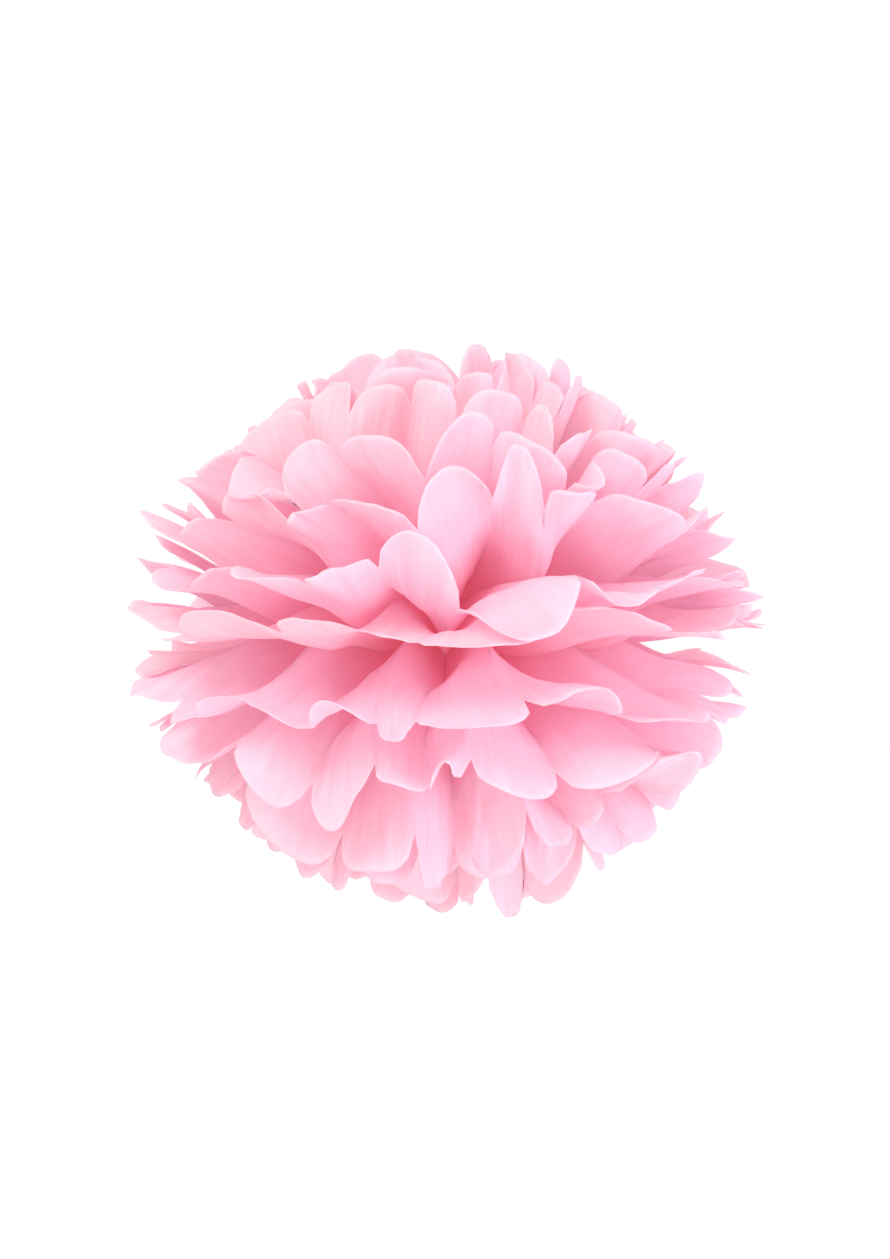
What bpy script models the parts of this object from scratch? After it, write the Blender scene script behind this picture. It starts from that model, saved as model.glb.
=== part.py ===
"""Tissue paper pom pom: a pile of pleated tissue sheets, tied at the waist and opened into a ball.

Frame: origin at the middle of the tie, +Z up, the front faces -Y. Metres.

Every sheet runs from its front tip, through the waist, to its back tip. Its front half opens as
one fan and its back half as another. A point of a fan has three coordinates:
    t      angle across the fan, from 0 at the left seam to pi at the right seam
    theta  how far the page is lifted, from -90 degrees (down) to +90 degrees (up)
    r      distance from the waist along the paper
Sheets are height fields: theta is a function of t and r, so pages that keep their order in theta
at every t and r can't cross.
"""
import math

import bpy
import numpy as np

for old in list(bpy.data.objects):
    bpy.data.objects.remove(old, do_unlink=True)

MM = 0.001

# the paper, in millimetres
SHEETS = 12
PANELS = 12
PANEL_WIDTH = 40.0
REACH = 172.0
SCALLOP = 22.0
ROUNDNESS = 2.4
UNEVEN = 3.0
PAPER = 0.3
CLEAR = 1.0

# the tied waist, in millimetres
WAIST_GAP = 5.0
WAIST_WIDE = 8.5
WAIST_HIGH = 7.5

# how the pages open: angles in radians, lengths in millimetres
SLIT = math.sin(math.radians(48))
SPREAD_NEAR = math.radians(66)
SPREAD_RIM = math.radians(79)
SHY = 0.02
DRIFT = 0.10
STEEP = 0.45
ROOM_AT = (0, 17, 45, 70, 110, REACH)
ROOM = (0, 0.8, 5, 8, 9, 8)
FLATTEN = 0.13
CROWN_NEAR = 78.0
CROWN_RIM = 84.0
SEED = 11

# how much the folds and panels of a page differ, as the spread of a random draw
OWN_DEPTH = 0.15
LIFT = 0.10
CURL = 0.025
CUP = 0.015
TIP = 0.02

# the long waves that bend the whole ball
WAVES = 6
WAVE_LONG = (90, 160)
WAVE_HIGH = 3.2
WAVE_SEED = 5

# the mesh of each half sheet: rows at these distances from the waist, then the rim
ROWS = np.array([0.0, 17.0, 45.0, 100.0])
COLUMN_STEPS = np.array([0.0, 0.3, 0.7])

# the wire: two legs round the waist, a twist and an eye
WIRE = 1.2
RING_FROM = -245
RING_TO = 40
RING_APART = 0.95
RING_WIDE = 9.7
RING_HIGH = 7.4
TWIST_FROM = 9.5
TWIST_TURNS = 3
TWIST_PITCH = 7.0
TWIST_RADIUS = 0.85
EYE_RADIUS = 5.5
EYE_GAP = 2.2
LEAD_POINTS = 4


def ease(x, start, end):
    """0 before start, 1 after end, and a smooth S between."""
    q = np.clip((x - start) / (end - start), 0, 1)
    return q * q * (3 - 2 * q)


def lift_scale(t, theta):
    """Length of a small turn in theta, at one unit from the waist."""
    sin_t, cos_t = np.sin(t) ** 2, np.cos(t) ** 2
    sin_l, cos_l = np.sin(theta) ** 2, np.cos(theta) ** 2
    squeeze = cos_t * SLIT ** 4 * sin_l * cos_l / (1 - SLIT ** 2 * sin_l)
    return np.sqrt(sin_t * sin_l + squeeze + (sin_t + SLIT ** 2 * cos_t) * cos_l)


def across_scale(t, theta):
    """Length of a small turn in t, at one unit from the waist."""
    sin_l = np.sin(theta) ** 2
    sin_t, cos_t = np.sin(t), np.cos(t)
    root = sin_t ** 2 + SLIT ** 2 * cos_t ** 2
    rise = (sin_t * cos_t * (1 - SLIT ** 2)) ** 2 * sin_l / root
    return np.sqrt(cos_t ** 2 * np.cos(theta) ** 2 + sin_t ** 2 * (1 - SLIT ** 2 * sin_l) + rise)


def place(t, theta, r, side):
    """The point at t, theta, r of the front fan (side 1) or the back fan (side -1)."""
    reach = r * (1 - FLATTEN * np.sin(theta) ** 2)
    gap = WAIST_GAP * (1 - ease(r, 12, 50))
    half = WAIST_WIDE * np.cos(0.9 * theta)
    root = np.clip(2 * t / math.pi - 1, -1, 1) * half
    across = root - np.cos(t) * reach * np.sqrt(1 - SLIT ** 2 * np.sin(theta) ** 2)
    out = gap + reach * np.sin(t) * np.cos(theta)
    rise = np.sqrt(np.sin(t) ** 2 + SLIT ** 2 * np.cos(t) ** 2)
    up = WAIST_HIGH * theta / (math.pi / 2) + reach * rise * np.sin(theta)
    return np.stack([across, -side * out, up], -1)


def blur(values, rounds):
    """Smooths a list of fold values, leaving its two ends."""
    for _ in range(rounds):
        middle = (values[:-2] + 2 * values[1:-1] + values[2:]) / 4
        values = np.concatenate([values[:1], middle, values[-1:]])
    return values


def columns_of_fan(rng):
    """t of every column of a fan at every row, shared by all its pages, and each column's fold place."""
    r = np.append(ROWS, REACH)[None]
    folds = np.arange(PANELS + 1)
    start = SHY + (math.pi - 2 * SHY) * folds[:, None] / PANELS
    drift = DRIFT * blur(rng.normal(size=PANELS + 1), 1)[:, None] * ease(r / REACH, 0.25, 1.0)
    fold_t = start + drift
    fold_t[0] = start[0]
    fold_t[-1] = start[-1]
    u = np.append((folds[:-1, None] + COLUMN_STEPS[None]).ravel(), PANELS)
    t = np.stack([np.interp(u, folds, fold_t[:, j]) for j in range(r.size)], -1)
    return t, np.broadcast_to(u[:, None], t.shape)


def page_heights(rng, level, t, u):
    """theta of one page: fold heights that zigzag about its level, with random lift, curl and cup."""
    r = np.append(ROWS, REACH)[None]
    rn = r / REACH
    k = np.arange(PANELS + 1)
    base = level * np.interp(r, [0, 60, REACH], [SPREAD_NEAR, SPREAD_NEAR, SPREAD_RIM])
    fold_t = np.stack([np.interp(k, u[:, j], t[:, j]) for j in range(r.size)], -1)
    arc = np.gradient(fold_t, axis=0) * r * across_scale(fold_t, base)
    full = 0.5 * np.sqrt(np.maximum(PANEL_WIDTH ** 2 - arc ** 2, 4.0))
    room = np.interp(r, ROOM_AT, ROOM)
    own = 1 + OWN_DEPTH * rng.normal(size=PANELS + 1)[:, None] * ease(rn, 0.3, 0.9)
    zig = np.minimum(np.minimum(full, room), STEEP * arc) * np.clip(own, 0.15, 1.6)
    zig *= np.where(k % 2 == 0, -1.0, 1.0)[:, None]
    lift = LIFT * blur(rng.normal(size=PANELS + 1), 2)[:, None] * ease(rn, 0.15, 1.0)
    curl = CURL * rng.normal(size=PANELS + 1)[:, None] * ease(rn, 0.55, 1.0) ** 1.5
    scale = np.maximum(lift_scale(fold_t, base), 0.15) * np.maximum(r, 6.0)
    heights = base + zig / scale + lift + curl
    cup = CUP * rng.normal(size=PANELS)
    tip = TIP * rng.normal(size=PANELS)
    left = np.minimum(u.astype(int), PANELS - 1)
    f = u - left
    row = np.arange(r.size)[None]
    soft = 0.15 + 0.5 * ease(rn, 0.3, 1.0)
    mix = (1 - soft) * f + soft * f * f * (3 - 2 * f)
    sag = 4 * f * (1 - f) * (cup[left] * rn ** 1.5 + tip[left] * ease(rn, 0.6, 1.0) ** 2)
    return heights[left, row] * (1 - mix) + heights[left + 1, row] * mix + sag


def open_fan(rng, side):
    """The columns of one fan, and theta of every page on them."""
    half_step = 0.5 / (SHEETS - 1)
    levels = np.linspace(-1, 1, SHEETS) * (1 - half_step) + side * half_step
    t, u = columns_of_fan(rng)
    return t, u, np.array([page_heights(rng, level, t, u) for level in levels])


def push_apart(pages, t):
    """Moves pages that are too close half the missing gap each, within the crown's limit."""
    r = np.append(ROWS, REACH)
    near = np.maximum(r, 3.0)[None]
    middle = (pages[1:] + pages[:-1]) / 2
    scale = np.maximum(lift_scale(t, middle), 0.12) * near
    arc = np.maximum(across_scale(t, middle), 0.2) * near
    rise = np.abs(np.diff(middle, axis=1)) / np.maximum(np.diff(t, axis=0), 0.02)
    steep = np.maximum(np.pad(rise, ((0, 0), (1, 0), (0, 0))), np.pad(rise, ((0, 0), (0, 1), (0, 0))))
    gap = CLEAR * np.sqrt(1 + np.minimum((steep * scale / arc) ** 2, 9.0)) / scale
    share = 1.6 * SPREAD_NEAR / len(pages)
    missing = np.maximum(np.minimum(gap, share) - (pages[1:] - pages[:-1]), 0) / 2
    pages[:-1] -= missing
    pages[1:] += missing
    limit = np.radians(np.interp(r, [0, 30, 75], [CROWN_NEAR, CROWN_NEAR, CROWN_RIM]))[None, None]
    return np.clip(pages, -limit, limit)


def keep_order(pages, t, rounds=120):
    """Separates the pages of one fan, a little at a time."""
    for _ in range(rounds):
        pages = push_apart(pages, t)
    return pages


def half_sheet(t, u, page, side, shorter):
    """The points of one half of a sheet: columns across it, rows from the waist to its scalloped rim."""
    panel = np.minimum(u[:, -1].astype(int), PANELS - 1)
    f = u[:, -1] - panel
    arch = np.maximum(1 - np.abs(2 * f - 1) ** ROUNDNESS, 0) ** 0.5
    rim = REACH - SCALLOP + (SCALLOP - shorter[panel]) * arch
    r = np.concatenate([np.broadcast_to(ROWS, (len(f), ROWS.size)), rim[:, None]], -1)
    return place(t, page, r, side)


def crumple(points):
    """Bends the whole ball a little with a few long waves, so that no two petals match."""
    rng = np.random.default_rng(WAVE_SEED)
    far = ease(np.linalg.norm(points, axis=-1, keepdims=True) / REACH, 0.15, 0.9)
    bent = points.copy()
    for _ in range(WAVES):
        wave = rng.normal(size=3)
        wave *= 2 * math.pi / rng.uniform(*WAVE_LONG) / np.linalg.norm(wave)
        phase = rng.uniform(0, 2 * math.pi)
        way = rng.normal(size=3)
        way /= np.linalg.norm(way)
        bent = bent + way * WAVE_HIGH * far * np.sin(points @ wave + phase)[..., None]
    return bent


def sheet_mesh(name, points):
    """A mesh of a grid of points, with every square split along the same diagonal."""
    nu, nv = points.shape[:2]
    grid = np.arange(nu * nv).reshape(nu, nv)
    corners = (grid[:-1, :-1], grid[1:, :-1], grid[1:, 1:], grid[:-1, 1:])
    a, b, c, d = (corner.ravel() for corner in corners)
    faces = np.concatenate([np.stack([a, b, c], -1), np.stack([a, c, d], -1)])
    mesh = bpy.data.meshes.new(name)
    mesh.from_pydata((points.reshape(-1, 3) * MM).tolist(), [], faces.tolist())
    return mesh


def wire_path():
    """One bent wire, from end to end: round the waist, up the twist, round the eye and back."""
    def ring(sign):
        angle = np.radians(np.linspace(RING_FROM, RING_TO, 36))
        x = sign * RING_WIDE * np.cos(angle)
        z = RING_HIGH * np.sin(angle)
        return np.stack([x, np.full_like(x, sign * RING_APART), z], -1)

    def strand(sign):
        turn = np.linspace(0, 2 * math.pi * TWIST_TURNS, 12 * TWIST_TURNS + 1)
        z = TWIST_FROM + TWIST_PITCH * turn / (2 * math.pi)
        return np.stack([sign * TWIST_RADIUS * np.cos(turn), sign * TWIST_RADIUS * np.sin(turn), z], -1)

    top = TWIST_FROM + TWIST_PITCH * TWIST_TURNS
    bend = np.radians(np.linspace(-60, 240, 17))
    rise = top + EYE_GAP + EYE_RADIUS * (1 + np.sin(bend))
    eye = np.stack([EYE_RADIUS * np.cos(bend), 0 * bend, rise], -1)
    share = np.linspace(0, 1, LEAD_POINTS + 2)[1:-1, None]
    parts = [ring(1), strand(1), eye, strand(-1)[::-1], ring(-1)[::-1]]
    path = parts[0]
    for part in parts[1:]:
        lead = path[-1] * (1 - share) + part[0] * share
        path = np.concatenate([path, lead, part])
    return blur(path, 4)


def paper_material(name, colour):
    """Matt tissue paper."""
    material = bpy.data.materials.new(name)
    material.use_nodes = True
    shader = material.node_tree.nodes["Principled BSDF"]
    shader.inputs["Base Color"].default_value = (*colour, 1)
    shader.inputs["Roughness"].default_value = 0.8
    shader.inputs["Metallic"].default_value = 0.0
    return material


def add_object(name, data, material):
    """Links one named piece with its own material."""
    data.materials.append(material)
    piece = bpy.data.objects.new(name, data)
    bpy.context.scene.collection.objects.link(piece)
    return piece


def build_sheets():
    """All the sheets, from the lowest to the highest."""
    rng = np.random.default_rng(SEED)
    t_front, u_front, front = open_fan(rng, 1)
    t_back, u_back, back = open_fan(rng, -1)
    front = keep_order(front, t_front)
    back = keep_order(back, t_back)
    for s in range(SHEETS):
        ahead = half_sheet(t_front, u_front, front[s], 1, UNEVEN * rng.random(PANELS))
        behind = half_sheet(t_back, u_back, back[s], -1, UNEVEN * rng.random(PANELS))
        points = crumple(np.concatenate([ahead[:, ::-1], behind], axis=1))
        name = f"sheet_{s + 1:02d}"
        tissue = paper_material(name + "_tissue", (0.95, 0.60, 0.70))
        sheet = add_object(name, sheet_mesh(name, points), tissue)
        thickness = sheet.modifiers.new("paper", "SOLIDIFY")
        thickness.thickness = PAPER * MM
        thickness.offset = 0


def build_wire():
    """The paper-covered wire, as a curve with a round bevel."""
    curve = bpy.data.curves.new("tie_wire", "CURVE")
    curve.dimensions = "3D"
    curve.bevel_depth = WIRE / 2 * MM
    curve.bevel_resolution = 1
    curve.use_fill_caps = True
    path = wire_path() * MM
    spline = curve.splines.new("POLY")
    spline.points.add(len(path) - 1)
    for point, place_at in zip(spline.points, path):
        point.co = (*place_at, 1)
    add_object("tie_wire", curve, paper_material("wire_paper_wrap", (0.90, 0.88, 0.84)))


build_sheets()
build_wire()
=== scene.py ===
# %% [markdown]
# # A tissue paper pom pom
#
# A tissue paper pom pom starts as a flat pile of thin sheets. The pile is folded back and forth into
# a narrow fan, tied at the middle with a wire, and its two ends are cut round. Then the sheets are
# peeled apart, one by one, until the two fans close into a ball.
#
# This lesson rebuilds that ball in Blender. First it loads the fixed frame that holds the real sizes.

# %% Load the frame
import math

import bpy
import numpy as np
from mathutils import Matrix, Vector


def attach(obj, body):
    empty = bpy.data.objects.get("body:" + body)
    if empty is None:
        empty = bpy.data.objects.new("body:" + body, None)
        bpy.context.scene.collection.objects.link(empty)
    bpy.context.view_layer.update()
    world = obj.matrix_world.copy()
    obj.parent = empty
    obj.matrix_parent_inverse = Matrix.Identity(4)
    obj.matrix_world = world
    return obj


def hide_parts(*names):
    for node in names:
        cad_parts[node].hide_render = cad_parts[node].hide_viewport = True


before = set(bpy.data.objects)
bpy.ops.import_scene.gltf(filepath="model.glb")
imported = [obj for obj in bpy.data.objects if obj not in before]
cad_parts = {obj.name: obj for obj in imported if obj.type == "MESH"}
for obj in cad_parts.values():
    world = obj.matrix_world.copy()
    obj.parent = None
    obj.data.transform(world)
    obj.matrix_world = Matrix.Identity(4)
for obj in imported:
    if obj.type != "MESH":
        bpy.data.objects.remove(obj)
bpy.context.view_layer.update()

# %% [markdown]
# ## Camera and studio
#
# The camera stands in front of one fan, a little above the tie. It takes in about twice the ball's own
# width, so the ball hangs free with air on every side.
#
# The ball hangs, so the floor lies well below it and is as pale as the air around. A white world lights
# the paper from all sides, because tissue looks best when light passes through it. A warm broad lamp
# at the upper left and a lilac one at the lower right give the two sides of the ball their own pinks.
# An image of a studio could light it as well, but two lamps and a plain world are easier to set one
# by one. Light that has passed many sheets gives the ball its glow, so more diffuse bounces are allowed.

# %% Camera
MM = 0.001
VIEW_DISTANCE = 1.6
VIEW_LIFT = math.radians(3)
BALL_WIDE = 0.352
BALL_SHARE = 0.505

camera_data = bpy.data.cameras.new("camera")
camera = bpy.data.objects.new("camera", camera_data)
bpy.context.scene.collection.objects.link(camera)
camera.location = (0, -VIEW_DISTANCE * math.cos(VIEW_LIFT), VIEW_DISTANCE * math.sin(VIEW_LIFT))
camera.rotation_euler = (-camera.location).to_track_quat("-Z", "Y").to_euler()
view_high = BALL_WIDE / BALL_SHARE
camera_data.sensor_fit = "VERTICAL"
camera_data.lens = camera_data.sensor_height * VIEW_DISTANCE / view_high
bpy.context.scene.camera = camera
print("lens:", round(camera_data.lens, 1), "mm")

# %% Floor, world and lamps
def lamp(name, spot, size, power, colour):
    """A square soft lamp that looks at the middle of the ball."""
    data = bpy.data.lights.new(name, "AREA")
    data.size = size
    data.energy = power
    data.color = colour
    light = bpy.data.objects.new(name, data)
    bpy.context.scene.collection.objects.link(light)
    light.location = spot
    light.rotation_euler = (-Vector(spot)).to_track_quat("-Z", "Y").to_euler()


def plain(name, colour, roughness):
    """A plain material of one colour."""
    material = bpy.data.materials.new(name)
    material.use_nodes = True
    shader = material.node_tree.nodes["Principled BSDF"]
    shader.inputs["Base Color"].default_value = (*colour, 1)
    shader.inputs["Roughness"].default_value = roughness
    return material


FLOOR_LEVEL = -0.62
FLOOR_HALF = 6
FLOOR_WHITE = (0.98, 0.98, 0.98)
FLOOR_ROUGH = 0.9
WORLD_LIGHT = 1.03
BOUNCES = 8

floor_mesh = bpy.data.meshes.new("floor")
ways = ((-1, -1), (1, -1), (1, 1), (-1, 1))
corners = [(x * FLOOR_HALF, y * FLOOR_HALF, FLOOR_LEVEL) for x, y in ways]
floor_mesh.from_pydata(corners, [], [(0, 1, 2, 3)])
floor = bpy.data.objects.new("floor", floor_mesh)
bpy.context.scene.collection.objects.link(floor)
floor_mesh.materials.append(plain("floor_white", FLOOR_WHITE, FLOOR_ROUGH))

lamp("key", spot=(-0.7, -1.1, 1.1), size=0.8, power=15.0, colour=(1.0, 0.93, 0.85))
lamp("fill", spot=(1.3, -0.9, -0.3), size=1.1, power=15.0, colour=(0.88, 0.80, 1.0))
world = bpy.data.worlds.new("studio")
world.use_nodes = True
sky = world.node_tree.nodes["Background"]
sky.inputs["Color"].default_value = (1, 1, 1, 1)
sky.inputs["Strength"].default_value = WORLD_LIGHT
bpy.context.scene.world = world
bpy.context.scene.view_settings.view_transform = "Standard"
bpy.context.scene.cycles.diffuse_bounces = BOUNCES
print("lamps:", len(bpy.data.lights), "and a world of strength", WORLD_LIGHT)

# %% [markdown]
# ## Where a point of the paper goes
#
# A page of the open ball is a fan. It would be hard to place each petal by hand, so every point gets
# three coordinates instead: `t` is the angle across the fan, from seam to seam; `theta` is how far the
# page is lifted from level; `r` is the distance from the tie along the paper. The coordinates are
# those of a ball that was slit at its waist, because that is what two fans tied at one place make.
# The ball is a little flatter than round, so `r` is shortened as theta grows.

# %% Sizes of the paper
SHEETS = 12
PANELS = 12
PANEL_WIDTH = 40.0
REACH = 172.0
SCALLOP = 24.0
WAIST_GAP = 5.0
WAIST_WIDE = 8.5
WAIST_HIGH = 7.5
WAIST_ENDS = (12, 50)
WAIST_TAPER = 0.9
SLIT = math.sin(math.radians(48))
FLATTEN = 0.13


# %% Helpers for soft steps
def ease(x, start, end):
    """0 before start, 1 after end, and a smooth S between: 3q^2 - 2q^3."""
    q = np.clip((x - start) / (end - start), 0, 1)
    return q * q * (3 - 2 * q)


def blur(values, rounds):
    """Each round makes a value a quarter of each neighbour and half of itself; the ends stay."""
    for _ in range(rounds):
        middle = (values[:-2] + 2 * values[1:-1] + values[2:]) / 4
        values = np.concatenate([values[:1], middle, values[-1:]])
    return values


print("a quarter of the way is eased to", float(ease(0.25, 0, 1)))


# %% From fan coordinates to space
def place(t, theta, r, side):
    """
    reach  = r (1 - flatten sin^2 theta)
    across = root of the line at the waist - reach cos t sqrt(1 - slit^2 sin^2 theta)
    out    = waist gap + reach sin t cos theta, towards the front (side 1) or the back (side -1)
    up     = height at the waist + reach sin theta sqrt(sin^2 t + slit^2 cos^2 t)
    """
    reach = r * (1 - FLATTEN * np.sin(theta) ** 2)
    gap = WAIST_GAP * (1 - ease(r, *WAIST_ENDS))
    root = np.clip(2 * t / math.pi - 1, -1, 1) * WAIST_WIDE * np.cos(WAIST_TAPER * theta)
    across = root - np.cos(t) * reach * np.sqrt(1 - SLIT ** 2 * np.sin(theta) ** 2)
    out = gap + reach * np.sin(t) * np.cos(theta)
    rise = np.sqrt(np.sin(t) ** 2 + SLIT ** 2 * np.cos(t) ** 2)
    up = WAIST_HIGH * theta / (math.pi / 2) + reach * rise * np.sin(theta)
    return np.stack([across, -side * out, up], -1)


def lift_scale(t, theta):
    """How far a point one unit from the tie moves for a small turn in theta."""
    sin_t, cos_t = np.sin(t) ** 2, np.cos(t) ** 2
    sin_l, cos_l = np.sin(theta) ** 2, np.cos(theta) ** 2
    squeeze = cos_t * SLIT ** 4 * sin_l * cos_l / (1 - SLIT ** 2 * sin_l)
    return np.sqrt(sin_t * sin_l + squeeze + (sin_t + SLIT ** 2 * cos_t) * cos_l)


def across_scale(t, theta):
    """How far a point one unit from the tie moves for a small turn in t."""
    sin_l = np.sin(theta) ** 2
    sin_t, cos_t = np.sin(t), np.cos(t)
    root = sin_t ** 2 + SLIT ** 2 * cos_t ** 2
    rise = (sin_t * cos_t * (1 - SLIT ** 2)) ** 2 * sin_l / root
    return np.sqrt(cos_t ** 2 * np.cos(theta) ** 2 + sin_t ** 2 * (1 - SLIT ** 2 * sin_l) + rise)


print("middle of the front rim:", place(math.pi / 2, 0.0, REACH, 1).round(1), "mm")


# %% [markdown]
# ## The folds
#
# Each page has twelve panels between thirteen fold lines, and a fold goes up, the next one down. Near
# the tie all pages are still folded together and their folds nest. Towards the rim each fold was
# pulled by hand, so it wanders sideways, stands higher or lower than its neighbours, and curls. The
# depth of a fold follows from the paper: a panel keeps its width, so where the fan is narrow the
# folds must stand deep, and where it is wide they flatten. The width used for that is a little more
# than the panel's own, because real pleats are also crushed and hold more paper than smooth ones. The
# end panels at the seams have only one neighbour and lie nearly flat, which is why a pom pom looks
# layered at its sides. The folds could be drawn as edges and bent one at a time. Here they are random
# curves from one formula, so that changing one number changes them all.

# %% Fold lines of one page
T_END = 0.14
T_COUNT = 401
R_COUNT = 44
T_GRID = np.linspace(-T_END, math.pi + T_END, T_COUNT)
R_GRID = np.linspace(0, REACH, R_COUNT)

# the angle that the outermost page may be lifted to, near the tie and at the rim
SPREAD_NEAR = math.radians(62)
SPREAD_RIM = math.radians(87)
SPREAD_FROM = 60

# the depth of a pleat, and the room for half of it at each distance from the tie
PLEAT_WIDTH = 46.0
LEAST_PLEAT = 4.0
ROOM_AT = (0, 12, 35, 60, 95, 135, REACH)
ROOM = (0, 4, 17, 22, 21, 13, 9)
ROOM_LEVEL = 0.6
ROOM_CROWN = 0.85

# the edges of a fan stop short of the seam near the tie and pass it further out
OVERLAP = 0.09
OVERLAP_AT = (35, 90)
SHY = 0.02

# how flat the outer part of a fold is at the seam, over how many panels, and where that starts
SEAM_CALM = 0.2
CALM_PANELS = 3
CALM_AT = (70, 140)

# limits that keep folds in order and keep the divisions safe close to the tie
LEAST_STEP = 0.35
LEAST_SCALE = 0.15
NEAREST = 6.0
DEPTH_RANGE = (0.15, 1.6)

# what differs by chance from fold to fold: how strong it is, and the shares of the reach at which it
# starts and is full
DRIFT = (0.13, 0.25, 1.0)
JITTER = (0.05, 0.5, 1.0)
OWN_DEPTH = (0.35, 0.3, 0.9)
LIFT = (0.085, 0.15, 1.0)
CURL = (0.045, 0.55, 1.0)


def grow(draw, share, chance, power=1):
    """strength * one random draw for each fold * (ease from start to full)^power."""
    strength, start, full = chance
    return strength * draw[:, None] * ease(share, start, full) ** power


def fold_lines(rng, level, calm):
    """
    t = even steps from seam to seam + a slow drift + a small jitter near the rim
    theta = the page's level +- (half the fold depth / distance) + lift + curl near the rim
    half the fold depth = half of sqrt(pleat width^2 - fan arc of one panel^2), within the room there
    The room grows with level^2, and calm below 1 flattens the outer part of the page's folds.
    """
    r = R_GRID[None]
    share = r / REACH
    k = np.arange(PANELS + 1)
    spread = np.interp(R_GRID, [0, SPREAD_FROM, REACH], [SPREAD_NEAR, SPREAD_NEAR, SPREAD_RIM])
    base = level * spread[None]
    edge = SHY - ease(r, *OVERLAP_AT) * (SHY + OVERLAP)
    start = edge + (math.pi - 2 * edge) * k[:, None] / PANELS
    step = (math.pi - 2 * edge) / PANELS
    drift = grow(blur(rng.normal(size=PANELS + 1), 1), share, DRIFT)
    jitter = grow(rng.normal(size=PANELS + 1), share, JITTER)
    t = start + drift + jitter
    t[0] = start[0]
    for i in range(1, PANELS + 1):
        t[i] = np.maximum(t[i], t[i - 1] + LEAST_STEP * step[0])
    t = t[0] + (t - t[0]) * (start[-1] - t[0]) / (t[-1] - t[0])
    arc = step * r * across_scale(t, base)
    half_depth = 0.5 * np.sqrt(np.maximum(PLEAT_WIDTH ** 2 - arc ** 2, LEAST_PLEAT ** 2))
    room = np.interp(R_GRID, ROOM_AT, ROOM)[None] * (ROOM_LEVEL + ROOM_CROWN * level ** 2)
    own = 1 + grow(rng.normal(size=PANELS + 1), share, OWN_DEPTH)
    flat_end = SEAM_CALM + (1 - SEAM_CALM) * ease(np.minimum(k, PANELS - k), 0, CALM_PANELS)[:, None]
    keep = 1 - (1 - calm * flat_end) * ease(r, *CALM_AT)
    up_or_down = np.where(k % 2 == 0, -1.0, 1.0)[:, None]
    zig = keep * up_or_down * np.minimum(half_depth, room) * np.clip(own, *DEPTH_RANGE)
    lift = grow(blur(rng.normal(size=PANELS + 1), 2), share, LIFT)
    curl = grow(rng.normal(size=PANELS + 1), share, CURL, power=1.5)
    scale = np.maximum(lift_scale(t, base), LEAST_SCALE) * np.maximum(r, NEAREST)
    return t, base + zig / scale + keep * (lift + curl)


print("room for half a pleat:", max(ROOM), "mm at", ROOM_AT[ROOM.index(max(ROOM))], "mm from the tie")


# %% Pages of one fan
CUP = 0.03
TIP = 0.05
TIP_FROM = 0.6
STRAY = 0.16
STRAY_TIP = 0.2
STILL_PANELS = 3
CRISP = 0.08
SOFTER = 0.22
SOFT_FROM = 0.4
FRONT_LEVELS = {3: -0.34, 4: -0.175, 5: 0.035}
FRONT_CALM = {4: 0.7, 5: 0.25, 6: 0.8}
FRONT_TIPS = {
    3: (0, 0.05, 0, -0.10, -0.10, 0.04, 0.06, 0, -0.05, 0.08, 0, 0),
    4: (0, 0, 0.05, 0.10, 0.12, -0.08, -0.02, 0.10, 0.05, -0.05, 0, 0),
    5: (0, 0, 0.03, 0, 0.02, 0, -0.02, 0.02, 0, 0.03, 0, 0),
    6: (0, 0, 0, -0.06, -0.04, 0.08, -0.14, -0.12, 0.03, -0.05, 0, 0),
    7: (0, 0, 0.05, 0.08, -0.03, -0.04, 0.10, 0.06, -0.08, 0, 0, 0),
}


def open_fan(rng, side):
    """
    Between two folds, theta goes from one fold's value to the next. The corner is crisp near the tie
    and softer at the rim. Each panel sags by 4 f (1 - f) times its own cup and bent tip, with f from 0
    to 1 across it. Five pages at the middle of the front have their tips listed, so that one
    lies level with petals above and below.
    """
    half_step = 0.5 / (SHEETS - 1)
    levels = np.linspace(-1, 1, SHEETS) * (1 - half_step) + side * half_step
    if side == 1:
        levels[list(FRONT_LEVELS)] = list(FRONT_LEVELS.values())
    share = (R_GRID / REACH)[None]
    rows = np.arange(R_COUNT)[None]
    folds = []
    pages = []
    for page, level in enumerate(levels):
        t, theta = fold_lines(rng, level, FRONT_CALM.get(page, 1) if side == 1 else 1)
        cup = CUP * rng.normal(size=PANELS)
        tip = TIP * rng.normal(size=PANELS)
        tip += STRAY_TIP * rng.normal(size=PANELS) * (rng.random(PANELS) < STRAY)
        if side == 1 and page in FRONT_TIPS:
            tip = np.array(FRONT_TIPS[page])
        from_seam = np.minimum(np.arange(PANELS), np.arange(PANELS)[::-1])
        tip = tip * ease(from_seam, -1, STILL_PANELS)
        columns = [np.interp(T_GRID, t[:, j], np.arange(PANELS + 1)) for j in range(R_COUNT)]
        u = np.stack(columns, -1)
        k = np.minimum(u.astype(int), PANELS - 1)
        f = u - k
        soft = CRISP + SOFTER * ease(share, SOFT_FROM, 1.0)
        mix = (1 - soft) * f + soft * f * f * (3 - 2 * f)
        sag = 4 * f * (1 - f) * (cup[k] * share ** 1.5 + tip[k] * ease(share, TIP_FROM, 1.0) ** 2)
        folds.append(t)
        pages.append(theta[k, rows] * (1 - mix) + theta[k + 1, rows] * mix + sag)
    return folds, np.array(pages)


print("pages set by hand:", sorted(FRONT_TIPS))


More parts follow.
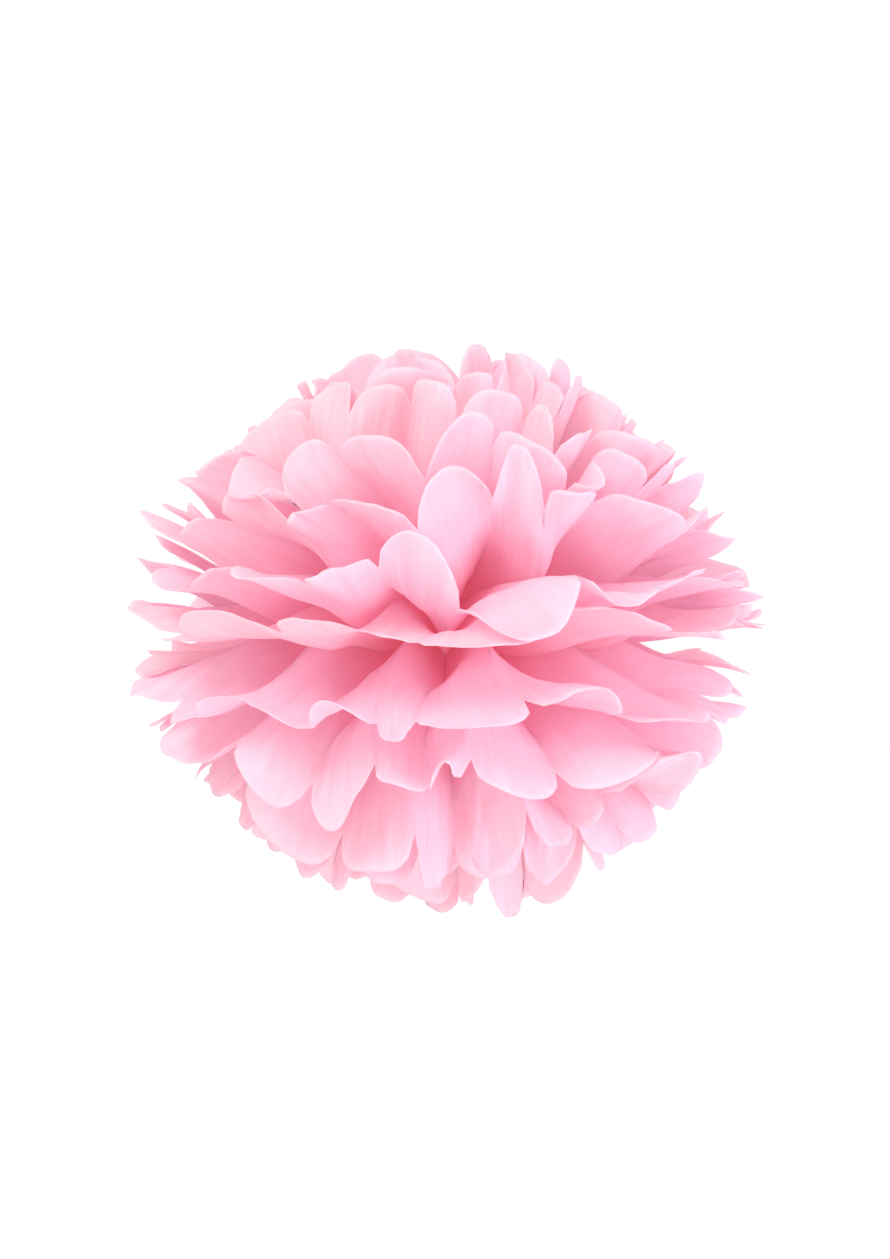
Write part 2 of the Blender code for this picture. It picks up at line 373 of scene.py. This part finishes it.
# %% [markdown]
# ## Keeping the pages in order
#
# Paper can't pass through paper. On the grid of `t` and `r` every page is one height field of theta,
# so the pages stay apart as long as they keep their order at each grid point. Where two neighbours are
# too close, each moves back half of what is missing, and this is repeated ninety times. At the seams
# the edges of the two fans lie between each other, so there they are sorted together. A cloth
# simulation could keep the sheets apart too, but twelve thin sheets tangle easily, and sorting is quick
# and gives the same ball each time. The waves and wrinkles come later, and can still make some petals
# dip into the next ones.

# %% Push pages apart
CLEAR = 0.9
CROWD = 1.6
STEEPEST = 3.0
LEAST_REACH = 3.0
LEAST_LIFT = 0.12
LEAST_ARC = 0.2
CROWN_AT = (0, 35, 80)
CROWN = (78.0, 78.0, 89.2)


def push_apart(pages, t):
    """
    Each way half of max(gap - distance, 0), then clipped to the limit at the crown.
    gap = clear * sqrt(1 + slope^2), because two steep pages are nearer than their heights say
    """
    r = np.maximum(R_GRID, LEAST_REACH)[None]
    middle = (pages[1:] + pages[:-1]) / 2
    scale = np.maximum(lift_scale(t, middle), LEAST_LIFT) * r
    arc = np.maximum(across_scale(t, middle), LEAST_ARC) * r
    slope = np.gradient(middle, axis=1) / (T_GRID[1] - T_GRID[0]) * scale / arc
    gap = CLEAR * np.sqrt(1 + np.minimum(slope ** 2, STEEPEST ** 2)) / scale
    share = CROWD * SPREAD_NEAR / len(pages)
    missing = np.maximum(np.minimum(gap, share) - (pages[1:] - pages[:-1]), 0) / 2
    pages[:-1] -= missing
    pages[1:] += missing
    limit = np.radians(np.interp(R_GRID, CROWN_AT, CROWN))[None, None]
    return np.clip(pages, -limit, limit)


def keep_order(front, back, rounds=90):
    """Separates each fan, and near both seams the two fans together, page by page in turn."""
    seams = []
    for seam in (0.0, math.pi):
        here = np.where(np.abs(T_GRID - seam) < T_END)[0]
        there = np.abs(T_GRID[None] + T_GRID[here][:, None] - 2 * seam).argmin(1)
        seams.append((here, there))
    for _ in range(rounds):
        front = push_apart(front, T_GRID[:, None])
        back = push_apart(back, T_GRID[:, None])
        for here, there in seams:
            both = np.empty((2 * SHEETS, len(here), R_COUNT))
            both[1::2] = front[:, here]
            both[0::2] = back[:, there]
            both = push_apart(both, T_GRID[here][:, None])
            front[:, here] = both[1::2]
            back[:, there] = both[0::2]
    return front, back


print("gap aimed at between two pages:", CLEAR, "mm")


# %% Open both fans
SEED = 11
rng = np.random.default_rng(SEED)
front_folds, front_pages = open_fan(rng, 1)
back_folds, back_pages = open_fan(rng, -1)
front_pages, back_pages = keep_order(front_pages, back_pages)
closest = min(np.diff(front_pages, axis=0).min(), np.diff(back_pages, axis=0).min())
print("pages keep their order:", bool(closest > 0))


# %% [markdown]
# ## From pages to paper
#
# The mesh of a half sheet is a grid: columns across the twelve panels, rows from the tie to the rim.
# The rim is where the folded pile was cut round with scissors, so each panel ends in a round petal. A
# superellipse gives that outline, fuller than a circle and with a short steep notch at each fold. The
# petals could be cut from a plain sheet with a Boolean, but then the grid would be lost. So each column
# of the grid just ends at the rim.

# %% Reading a grid between its points
def read_grid(values, t, r):
    """The four nearest grid values, weighted by how near they are."""
    x = np.clip((t - T_GRID[0]) / (T_GRID[-1] - T_GRID[0]), 0, 1) * (T_COUNT - 1)
    y = np.clip(r / REACH, 0, 1) * (R_COUNT - 1)
    i = np.minimum(x.astype(int), T_COUNT - 2)
    j = np.minimum(y.astype(int), R_COUNT - 2)
    a, b = x - i, y - j
    near = values[i, j] * (1 - a) + values[i + 1, j] * a
    far = values[i, j + 1] * (1 - a) + values[i + 1, j + 1] * a
    return near * (1 - b) + far * b


print("grid of a page:", front_pages[0].shape, "points")


# %% One half of a sheet
COLUMNS = 14
ROWS = 40
ROUNDNESS = 2.3
FULLNESS = 0.5
END_ROUNDNESS = 1.3
END_FULLNESS = 0.8
SHORTER = 9
RAGGED = 0.9
RIM_SHY = 1
ROW_POWER = 0.9


def half_sheet(rng, folds, page, side):
    """
    rim = reach - scallop + scallop (1 - |2f - 1|^roundness)^fullness, with f from 0 to 1 over a panel
    The end panels are cut more pointed, and each petal is shorter by a random length.
    Rows run from the tie to that rim, a little closer near the rim.
    """
    f = np.append(np.tile(np.arange(COLUMNS) / COLUMNS, PANELS), 1.0)
    k = np.append(np.repeat(np.arange(PANELS), COLUMNS), PANELS - 1)
    shorter = SHORTER * rng.random(PANELS)
    ends = (k == 0) | (k == PANELS - 1)
    arch = np.maximum(1 - np.abs(2 * f - 1) ** np.where(ends, END_ROUNDNESS, ROUNDNESS), 0)
    arch **= np.where(ends, END_FULLNESS, FULLNESS)
    ragged = blur(rng.normal(size=len(f)), 2)
    rim = REACH - RIM_SHY - SCALLOP + (SCALLOP - shorter[k]) * arch + RAGGED * ragged
    r = (np.linspace(0, 1, ROWS) ** ROW_POWER)[None] * rim[:, None]
    y = r / REACH * (R_COUNT - 1)
    j = np.minimum(y.astype(int), R_COUNT - 2)
    b = y - j
    across = folds[k] * (1 - f[:, None]) + folds[k + 1] * f[:, None]
    row = np.arange(len(f))[:, None]
    t = across[row, j] * (1 - b) + across[row, j + 1] * b
    flat = np.stack([np.broadcast_to(((k + f) * PANEL_WIDTH)[:, None], r.shape), side * r], -1)
    return place(t, read_grid(page, t, r), r, side), flat, rim[:, None] - r


print("mesh of half a sheet:", PANELS * COLUMNS + 1, "x", ROWS, "points")


# %% [markdown]
# ## Waves and creases
#
# Handled tissue is never smooth. Four things bend it here. A few long waves bend the whole ball, so
# that it isn't too regular. Soft dents a few centimetres wide cover each sheet. Fine creases run out
# from the tie, because that is how the pleats were pressed. And the rim flutters, as it was cut and
# pulled most. A Displace modifier with a noise texture could do some of this. Moving the points
# themselves lets each kind of wrinkle follow the sheet's own directions.

# %% Long waves
WAVES = 6
WAVE_LONG = (90, 160)
WAVE_HIGH = 3.2
WAVE_FROM = 0.15
WAVE_FULL = 0.9
WAVE_SEED = 5


def long_waves(points):
    """point + direction * height * sin(wave . point), summed over the waves, fading in from the tie."""
    draw = np.random.default_rng(WAVE_SEED)
    share = np.linalg.norm(points, axis=-1, keepdims=True) / REACH
    far = ease(share, WAVE_FROM, WAVE_FULL)
    bent = points.copy()
    for _ in range(WAVES):
        wave = draw.normal(size=3)
        wave *= 2 * math.pi / draw.uniform(*WAVE_LONG) / np.linalg.norm(wave)
        phase = draw.uniform(0, 2 * math.pi)
        way = draw.normal(size=3)
        way /= np.linalg.norm(way)
        bent = bent + way * WAVE_HIGH * far * np.sin(points @ wave + phase)[..., None]
    return bent


print("long waves:", WAVES, "of up to", WAVE_HIGH, "mm each")


# %% Dents and creases
# each one: how high, how far across the pleats and how far along them from one height to the next
DENTS = ((0.9, 18, 28), (0.45, 7, 45), (0.25, 3.6, 14))
FLUTTER = (1.7, 12, 60)
FLUTTER_FROM = 100
FADE_AT = (25, 110)


def lattice(rng, flat, cell_across, cell_along):
    """Random heights on a lattice of the flat sheet, read with a smooth blend between its points."""
    x = flat[..., 0] / cell_across
    y = (flat[..., 1] + REACH) / cell_along
    heights = rng.normal(size=(int(x.max()) + 3, int(y.max()) + 3))
    i, j = np.floor(x).astype(int), np.floor(y).astype(int)
    a, b = ease(x - i, 0, 1), ease(y - j, 0, 1)
    near = heights[i, j] * (1 - a) + heights[i + 1, j] * a
    far = heights[i, j + 1] * (1 - a) + heights[i + 1, j + 1] * a
    return near * (1 - b) + far * b


def wrinkle(rng, points, flat):
    """Moves each point along the sheet's normal by fade * (dents + long and short creases + flutter)."""
    normal = np.cross(np.gradient(points, axis=0), np.gradient(points, axis=1))
    normal /= np.maximum(np.linalg.norm(normal, axis=-1, keepdims=True), 1e-9)
    far = np.abs(flat[..., 1])
    height = sum(size * lattice(rng, flat, across, along) for size, across, along in DENTS)
    size, across, along = FLUTTER
    height += size * lattice(rng, flat, across, along) * ease(far, FLUTTER_FROM, REACH)
    fade = ease(far, *FADE_AT)
    return points + normal * (height * fade)[..., None]


print("dents and creases:", [size for size, across, along in DENTS], "mm, flutter:", FLUTTER[0], "mm")


# %% [markdown]
# ## The tie
#
# One paper-wrapped wire holds all the sheets. It runs round the waist from both sides, its two ends
# twist together upwards, and they close in an eye that a thread can hang from. The path is a list of
# short formulas, joined, spread evenly and smoothed; a round tube then follows it. A Curve object with
# a bevel could be the wire too, but this tube carries a UV map along its length, and the wound paper
# strip is drawn with that.

# %% Path of the wire
WIRE = 1.2
RING_WIDE = 9.7
RING_HIGH = 7.4
TWIST_FROM = 9.5
TWIST_TURNS = 3
TWIST_PITCH = 7.0
TWIST_RADIUS = 0.85
EYE_RADIUS = 5.5
EYE_GAP = 2.2
STRANDS_APART = 0.95
RING_ARC = (-245, 40)
EYE_ARC = (-60, 240)
PATH_POINTS = 480
SMOOTHER = 20


def wire_path():
    """
    ring:   (+-wide cos a, +-apart, high sin a), one strand from each side
    strand: (+-radius cos b, +-radius sin b, start + pitch b / 2 pi)
    eye:    (radius cos c, 0, top + gap + radius (1 + sin c)), in the plane of the seams
    """
    a = np.radians(np.linspace(*RING_ARC, 60))
    b = np.linspace(0, 2 * math.pi * TWIST_TURNS, 90)
    c = np.radians(np.linspace(*EYE_ARC, 40))
    top = TWIST_FROM + TWIST_PITCH * TWIST_TURNS
    parts = []
    for sign in (1, -1):
        apart = sign * STRANDS_APART + 0 * a
        ring = np.stack([sign * RING_WIDE * np.cos(a), apart, RING_HIGH * np.sin(a)], -1)
        height = TWIST_FROM + TWIST_PITCH * b / (2 * math.pi)
        strand = np.stack([sign * TWIST_RADIUS * np.cos(b), sign * TWIST_RADIUS * np.sin(b), height], -1)
        parts.append(np.concatenate([ring, strand]))
    eye = np.stack([EYE_RADIUS * np.cos(c), 0 * c, top + EYE_GAP + EYE_RADIUS * (1 + np.sin(c))], -1)
    path = np.concatenate([parts[0], eye, parts[1][::-1]])
    along = np.append(0, np.cumsum(np.linalg.norm(np.diff(path, axis=0), axis=1)))
    even = np.linspace(0, along[-1], PATH_POINTS)
    return blur(np.stack([np.interp(even, along, path[:, i]) for i in range(3)], -1), SMOOTHER)


lengths = np.linalg.norm(np.diff(wire_path(), axis=0), axis=1)
print("wire in the path:", round(float(lengths.sum())), "mm")


# %% Tube round a path
def tube(name, path, radius, sides, material):
    """
    At each point of the path, point + radius (cos a * first + sin a * second), square to the path.
    The first direction is carried on from point to point, so the tube doesn't twist on its own.
    """
    tangent = np.gradient(path, axis=0)
    tangent /= np.linalg.norm(tangent, axis=1, keepdims=True)
    side = np.cross(tangent[0], (0.0, 1.0, 0.0))
    starts = []
    for way in tangent:
        side = side - way * (side @ way)
        side /= np.linalg.norm(side)
        starts.append(side)
    first = np.array(starts)
    second = np.cross(tangent, first)
    turn = 2 * math.pi * np.arange(sides) / sides
    ring = np.cos(turn)[None, :, None] * first[:, None] + np.sin(turn)[None, :, None] * second[:, None]
    points = (path[:, None] + radius * ring).reshape(-1, 3) * MM
    i, j = np.meshgrid(np.arange(len(path) - 1), np.arange(sides), indexing="ij")
    after = (j + 1) % sides
    faces = np.stack([i * sides + j, i * sides + after, (i + 1) * sides + after, (i + 1) * sides + j], -1)
    last = (len(path) - 1) * sides
    ends = [list(range(sides))[::-1], [last + n for n in range(sides)]]
    mesh = bpy.data.meshes.new(name)
    mesh.from_pydata(points.tolist(), [], faces.reshape(-1, 4).tolist() + ends)
    along = np.stack([i, i, i + 1, i + 1], -1).ravel() / (len(path) - 1)
    round_it = np.stack([j, j + 1, j + 1, j], -1).ravel() / sides
    uv = mesh.uv_layers.new(name="wrap")
    coords = np.zeros((len(mesh.loops), 2))
    coords[:len(along)] = np.stack([along, round_it], -1)
    uv.data.foreach_set("uv", coords.ravel())
    mesh.shade_smooth()
    mesh.materials.append(material)
    piece = bpy.data.objects.new(name, mesh)
    bpy.context.scene.collection.objects.link(piece)
    return piece


# %% Paper wrap and wire piece
WRAP_TURNS = 70
WRAP_WHITE = (0.90, 0.87, 0.83)
WRAP_ROUGH = 0.85
WRAP_STEP = 0.0002
TUBE_SIDES = 12


def paper_wrap():
    """A strip of paper wound round the wire: height = the fraction of (turns * along + around)."""
    material = plain("paper wrap", WRAP_WHITE, WRAP_ROUGH)
    nodes, links = material.node_tree.nodes, material.node_tree.links
    where = nodes.new("ShaderNodeUVMap")
    where.uv_map = "wrap"
    axes = nodes.new("ShaderNodeSeparateXYZ")
    wind = nodes.new("ShaderNodeMath")
    wind.operation = "MULTIPLY_ADD"
    wind.inputs[1].default_value = WRAP_TURNS
    step = nodes.new("ShaderNodeMath")
    step.operation = "FRACT"
    bump = nodes.new("ShaderNodeBump")
    bump.inputs["Strength"].default_value = 0.5
    bump.inputs["Distance"].default_value = WRAP_STEP
    links.new(where.outputs["UV"], axes.inputs[0])
    links.new(axes.outputs["X"], wind.inputs[0])
    links.new(axes.outputs["Y"], wind.inputs[2])
    links.new(wind.outputs[0], step.inputs[0])
    links.new(step.outputs[0], bump.inputs["Height"])
    links.new(bump.outputs["Normal"], nodes["Principled BSDF"].inputs["Normal"])
    return material


wire = tube("wrapped_wire", wire_path(), WIRE / 2, TUBE_SIDES, paper_wrap())
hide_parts("tie_wire")
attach(wire, "root")
print("wire:", len(wire.data.polygons), "faces")

# %% [markdown]
# ## The finish of the paper
#
# Tissue is matt, thin and see-through to light. A Principled shader alone would look like card, so it
# is mixed with a Translucent shader, which passes light to the far side. Two effects are shader node
# groups. One is the spread of fibres in the sheet, cloudy and drawn out along the pleats. The other
# paints light and shade into the colour: a deeper pink towards the tie is painted shade of the deep
# folds where many layers lie close, and a paler pink at the cut edge is a painted rim highlight. A weak
# pink emission is a painted glow that stands for the light more bounces would still bring out of the
# folds. A picture of tissue could be laid on instead, but noise has no seams and stays sharp close up.

# %% Group: cloudy fibres
CLOUD_SCALE = 55
GRAIN_SCALE = 900
STREAK_SCALE = (260, 22, 1)
STREAK_WEIGHT = 1.5
GRAIN_WEIGHT = 0.35


def node_group(name, inputs, outputs):
    """A new shader node group with the named sockets: (nodes, links, start, end, group)."""
    group = bpy.data.node_groups.new(name, "ShaderNodeTree")
    for way, sockets in (("INPUT", inputs), ("OUTPUT", outputs)):
        for socket, kind in sockets.items():
            group.interface.new_socket(socket, in_out=way, socket_type="NodeSocket" + kind)
    nodes = group.nodes
    return nodes, group.links, nodes.new("NodeGroupInput"), nodes.new("NodeGroupOutput"), group


def tissue_fibres():
    """Cloud = slow noise + 1.5 * noise drawn out along the folds; Height = that + 0.35 * fine grain."""
    outputs = {"Cloud": "Float", "Height": "Float"}
    nodes, links, start, end, group = node_group("tissue fibres", {"Sheet": "Vector"}, outputs)

    def noise(where, scale, detail):
        texture = nodes.new("ShaderNodeTexNoise")
        texture.inputs["Scale"].default_value = scale
        texture.inputs["Detail"].default_value = detail
        links.new(where, texture.inputs["Vector"])
        return texture.outputs["Fac"]

    def weigh(first, weight, second):
        add = nodes.new("ShaderNodeMath")
        add.operation = "MULTIPLY_ADD"
        add.inputs[1].default_value = weight
        links.new(first, add.inputs[0])
        links.new(second, add.inputs[2])
        return add.outputs[0]

    along = nodes.new("ShaderNodeVectorMath")
    along.operation = "MULTIPLY"
    along.inputs[1].default_value = STREAK_SCALE
    links.new(start.outputs["Sheet"], along.inputs[0])
    cloud = noise(start.outputs["Sheet"], CLOUD_SCALE, 4)
    grain = noise(start.outputs["Sheet"], GRAIN_SCALE, 3)
    streak = noise(along.outputs[0], 1, 3)
    streaked = weigh(streak, STREAK_WEIGHT, cloud)
    links.new(streaked, end.inputs["Cloud"])
    links.new(weigh(grain, GRAIN_WEIGHT, streaked), end.inputs["Height"])
    return group


FIBRES = tissue_fibres()
print("group:", FIBRES.name, "with", len(FIBRES.nodes), "nodes")


# %% Group: colour from the tie to the tip, with painted shade at the tie and a painted rim highlight
SHADE_FADE_BAND = (0.03, 0.125)
TIP_BAND = (0.09, 0.168)
RIM_HIGHLIGHT_BAND = (-0.001, 0.003)
CLOUD_BAND = (0.9, 1.6)
CLOUD_SHADE = 0.3


def tissue_colour_and_painted_light():
    """Painted shade as a deep pink near the tie, then Middle and Tip by distance from the tie; the cloud
    pulls towards that deep pink as random tone; and a painted rim highlight at the rim.
    """
    inputs = {"Sheet": "Vector", "Cloud": "Float", "To rim": "Float"}
    inputs.update({"Rim highlight": "Color", "Tip": "Color", "Middle": "Color", "Painted shade and cloud": "Color"})
    nodes, links, start, end, group = node_group("tissue colour and painted light", inputs, {"Color": "Color"})

    def share(value, band, kind="SMOOTHSTEP", most=1.0):
        step = nodes.new("ShaderNodeMapRange")
        step.interpolation_type = kind
        step.inputs["From Min"].default_value, step.inputs["From Max"].default_value = band
        step.inputs["To Max"].default_value = most
        links.new(value, step.inputs["Value"])
        return step.outputs["Result"]

    def blend(factor, first, second):
        mix = nodes.new("ShaderNodeMix")
        mix.data_type = "RGBA"
        links.new(factor, mix.inputs["Factor"])
        links.new(first, mix.inputs["A"])
        links.new(second, mix.inputs["B"])
        return mix.outputs["Result"]

    axes = nodes.new("ShaderNodeSeparateXYZ")
    away = nodes.new("ShaderNodeMath")
    away.operation = "ABSOLUTE"
    links.new(start.outputs["Sheet"], axes.inputs[0])
    links.new(axes.outputs["Y"], away.inputs[0])
    far = away.outputs[0]
    # painted shade: the deep pink near the tie fades to the middle pink over this band
    tie_shaded = blend(share(far, SHADE_FADE_BAND), start.outputs["Painted shade and cloud"], start.outputs["Middle"])
    outer = blend(share(far, TIP_BAND), tie_shaded, start.outputs["Tip"])
    shade = share(start.outputs["Cloud"], CLOUD_BAND, kind="LINEAR", most=CLOUD_SHADE)
    clouded = blend(shade, outer, start.outputs["Painted shade and cloud"])
    # painted rim highlight: a paler pink on the last few millimetres of the cut edge
    rim_highlighted = blend(share(start.outputs["To rim"], RIM_HIGHLIGHT_BAND), start.outputs["Rim highlight"], clouded)
    links.new(rim_highlighted, end.inputs["Color"])
    return group


COLOUR = tissue_colour_and_painted_light()
print("group:", COLOUR.name, "with", len(COLOUR.nodes), "nodes")


# %% Tissue material
# painted rim highlight: the paler pink at the cut edge, where light shines through the thin rim
RIM_HIGHLIGHT_PINK = (0.925, 0.79, 0.855, 1)
TIP_PINK = (0.91, 0.765, 0.835, 1)
MIDDLE_PINK = (0.925, 0.785, 0.87, 1)
# painted shade of the deep folds at the tie; the random fibre cloud also pulls towards this pink
PAINTED_SHADE_AND_CLOUD_PINK = (0.94, 0.54, 0.64, 1)
GLOW_PINK = (1.0, 0.40, 0.56, 1)
GLOW = 0.14
PAPER_ROUGH = 0.75
PAPER_GLOSS = 0.15
PAPER_SHEEN = 0.08
SEE_THROUGH = 0.5
FIBRE_BUMP = 0.5
FIBRE_HIGH = 0.0008
LESS_GREEN = 0.01
LESS_BLUE = 0.04


def warmer(pink, warmth):
    """The same pink with a trace less green and less blue, towards salmon."""
    red, green, blue, alpha = pink
    return red, green - LESS_GREEN * warmth, blue - LESS_BLUE * warmth, alpha


def tissue(name, warmth):
    """One sheet's paper: the groups feed both shaders, and warmth from 0 to 1 is the sheet's own tint."""
    material = bpy.data.materials.new(name)
    material.use_nodes = True
    nodes, links = material.node_tree.nodes, material.node_tree.links
    paper = nodes["Principled BSDF"]
    paper.inputs["Roughness"].default_value = PAPER_ROUGH
    paper.inputs["Specular IOR Level"].default_value = PAPER_GLOSS
    paper.inputs["Sheen Weight"].default_value = PAPER_SHEEN
    paper.inputs["Emission Color"].default_value = GLOW_PINK
    paper.inputs["Emission Strength"].default_value = GLOW
    through = nodes.new("ShaderNodeBsdfTranslucent")
    both = nodes.new("ShaderNodeMixShader")
    both.inputs[0].default_value = SEE_THROUGH
    sheet = nodes.new("ShaderNodeUVMap")
    sheet.uv_map = "flat sheet"
    fibres = nodes.new("ShaderNodeGroup")
    fibres.node_tree = FIBRES
    colour = nodes.new("ShaderNodeGroup")
    colour.node_tree = COLOUR
    colour.inputs["Tip"].default_value = warmer(TIP_PINK, warmth)
    colour.inputs["Middle"].default_value = warmer(MIDDLE_PINK, warmth)
    colour.inputs["Painted shade and cloud"].default_value = warmer(PAINTED_SHADE_AND_CLOUD_PINK, warmth)
    colour.inputs["Rim highlight"].default_value = RIM_HIGHLIGHT_PINK
    rim = nodes.new("ShaderNodeAttribute")
    rim.attribute_name = "to the rim"
    bump = nodes.new("ShaderNodeBump")
    bump.inputs["Strength"].default_value = FIBRE_BUMP
    bump.inputs["Distance"].default_value = FIBRE_HIGH
    links.new(sheet.outputs["UV"], fibres.inputs["Sheet"])
    links.new(sheet.outputs["UV"], colour.inputs["Sheet"])
    links.new(fibres.outputs["Cloud"], colour.inputs["Cloud"])
    links.new(rim.outputs["Fac"], colour.inputs["To rim"])
    links.new(fibres.outputs["Height"], bump.inputs["Height"])
    links.new(colour.outputs["Color"], paper.inputs["Base Color"])
    links.new(colour.outputs["Color"], through.inputs["Color"])
    links.new(bump.outputs["Normal"], paper.inputs["Normal"])
    links.new(bump.outputs["Normal"], through.inputs["Normal"])
    links.new(paper.outputs["BSDF"], both.inputs[1])
    links.new(through.outputs["BSDF"], both.inputs[2])
    links.new(both.outputs["Shader"], nodes["Material Output"].inputs["Surface"])
    return material


print("pinks from tie to rim:", PAINTED_SHADE_AND_CLOUD_PINK[:3], MIDDLE_PINK[:3], TIP_PINK[:3], RIM_HIGHLIGHT_PINK[:3])


# %% [markdown]
# ## Laying the sheets
#
# Each sheet joins its front half and its back half at the waist, so it is one grid from tip to tip. A
# UV map keeps the flat sheet's own sizes, and an attribute the distance to the rim, and the finish
# reads both. Solidify then gives the paper its thickness. Two halves could be made as two pieces, but
# a real sheet runs through the tie unbroken.

# %% Mesh of one sheet
THICK = 0.12


def sheet_piece(name, points, flat, to_rim, material):
    """A grid of points as one piece: UV = place on the flat sheet, attribute = distance to the rim."""
    nu, nv = points.shape[:2]
    grid = np.arange(nu * nv).reshape(nu, nv)
    corners = (grid[:-1, :-1], grid[1:, :-1], grid[1:, 1:], grid[:-1, 1:])
    faces = np.stack([corner.ravel() for corner in corners], -1)
    mesh = bpy.data.meshes.new(name)
    mesh.from_pydata((points.reshape(-1, 3) * MM).tolist(), [], faces.tolist())
    uv = mesh.uv_layers.new(name="flat sheet")
    uv.data.foreach_set("uv", (flat.reshape(-1, 2)[faces.ravel()] * MM).ravel())
    rim = mesh.attributes.new("to the rim", "FLOAT", "POINT")
    rim.data.foreach_set("value", to_rim.ravel() * MM)
    mesh.shade_smooth()
    mesh.materials.append(material)
    piece = bpy.data.objects.new(name, mesh)
    bpy.context.scene.collection.objects.link(piece)
    wall = piece.modifiers.new("paper thickness", "SOLIDIFY")
    wall.thickness = THICK * MM
    wall.offset = 0
    return piece


# %% Lay all the sheets
for s in range(SHEETS):
    node = f"sheet_{s + 1:02d}"
    ahead, flat_ahead, rim_ahead = half_sheet(rng, front_folds[s], front_pages[s], 1)
    behind, flat_behind, rim_behind = half_sheet(rng, back_folds[s], back_pages[s], -1)
    points = long_waves(np.concatenate([ahead[:, ::-1], behind], axis=1))
    flat = np.concatenate([flat_ahead[:, ::-1], flat_behind], axis=1)
    to_rim = np.concatenate([rim_ahead[:, ::-1], rim_behind], axis=1)
    points = wrinkle(rng, points, flat)
    piece = sheet_piece("tissue_" + node, points, flat, to_rim, tissue("tissue " + node, rng.random()))
    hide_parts(node)
    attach(piece, "root")
